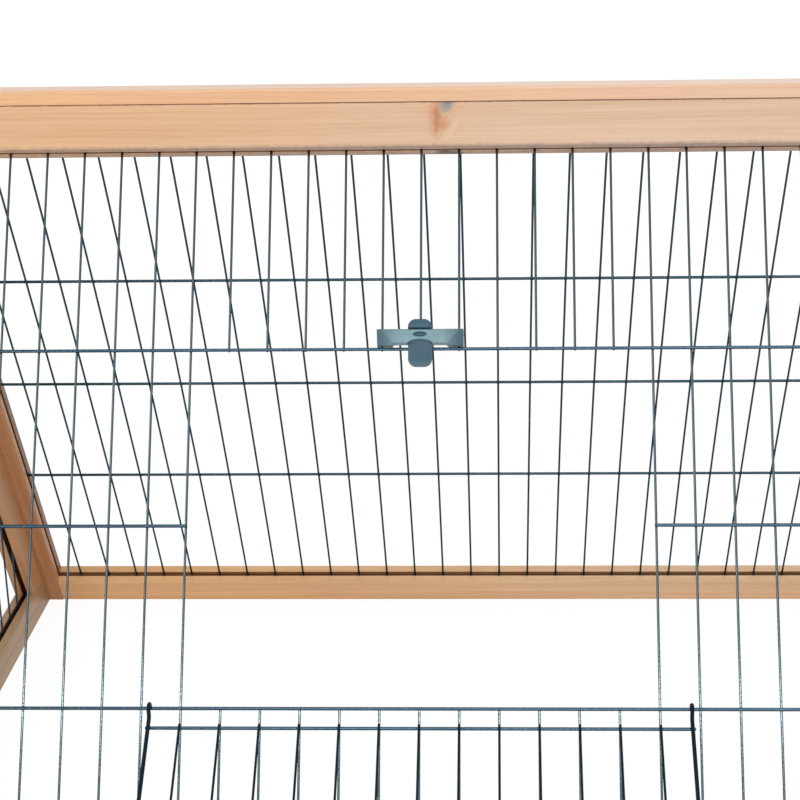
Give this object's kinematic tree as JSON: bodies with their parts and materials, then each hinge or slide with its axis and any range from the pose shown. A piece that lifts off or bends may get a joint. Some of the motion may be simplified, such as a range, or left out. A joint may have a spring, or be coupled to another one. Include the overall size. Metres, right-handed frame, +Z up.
{
  "type": "triangular small-animal run",
  "caption": "Triangular timber run with grooved rails, upright welded wires, a drop-down wire door hooked on a cross wire and a sliding plastic drop latch.",
  "frame": {"origin": "on the ground under the middle of the whole object with its door let down", "axes": "+X along the ridge, -Y towards the side with the door, +Z up"},
  "size_m": [1.15, 0.6808, 0.5075],
  "materials": {
    "timber": "oiled planed softwood",
    "coated_wire": "slate coating",
    "door_wire": "dark slate coating",
    "latch_plastic": "moulded",
    "screw_steel": "plated"
  },
  "bodies": {
    "frame": {"ridge_cap": "timber", "front_top_rail": "timber", "front_bottom_rail": "timber", "front_left_stile": "timber", "front_right_stile": "timber", "back_top_rail": "timber", "back_bottom_rail": "timber", "back_left_stile": "timber", "back_right_stile": "timber", "left_end_base_rail": "timber", "left_end_front_stile": "timber", "left_end_back_stile": "timber", "right_end_base_rail": "timber", "right_end_front_stile": "timber", "right_end_back_stile": "timber", "front_uprights": "coated_wire", "front_cross_wires": "coated_wire", "hinge_wire": "coated_wire", "back_uprights": "coated_wire", "back_cross_wires": "coated_wire", "left_end_uprights": "coated_wire", "left_end_cross_wires": "coated_wire", "right_end_uprights": "coated_wire", "right_end_cross_wires": "coated_wire", "corner_screws": "screw_steel", "end_frame_screws": "screw_steel", "latch_guide": "latch_plastic"},
    "door": {"door_frame": "door_wire", "door_uprights": "door_wire", "door_cross_wires": "door_wire"},
    "latch_slide": {"latch_slide": "latch_plastic"}
  },
  "joints": [
    {"name": "door_hinge", "type": "hinge", "parent": "frame", "child": "door", "pos_m": [0, -0.15344, 0.15115], "axis": [-1, 0, 0], "range_deg": [0, 153.73]},
    {"name": "latch_lift", "type": "slide", "parent": "frame", "child": "latch_slide", "axis": [0, 0.5, 0.866], "range_m": [0, 0.0108]}
  ]
}
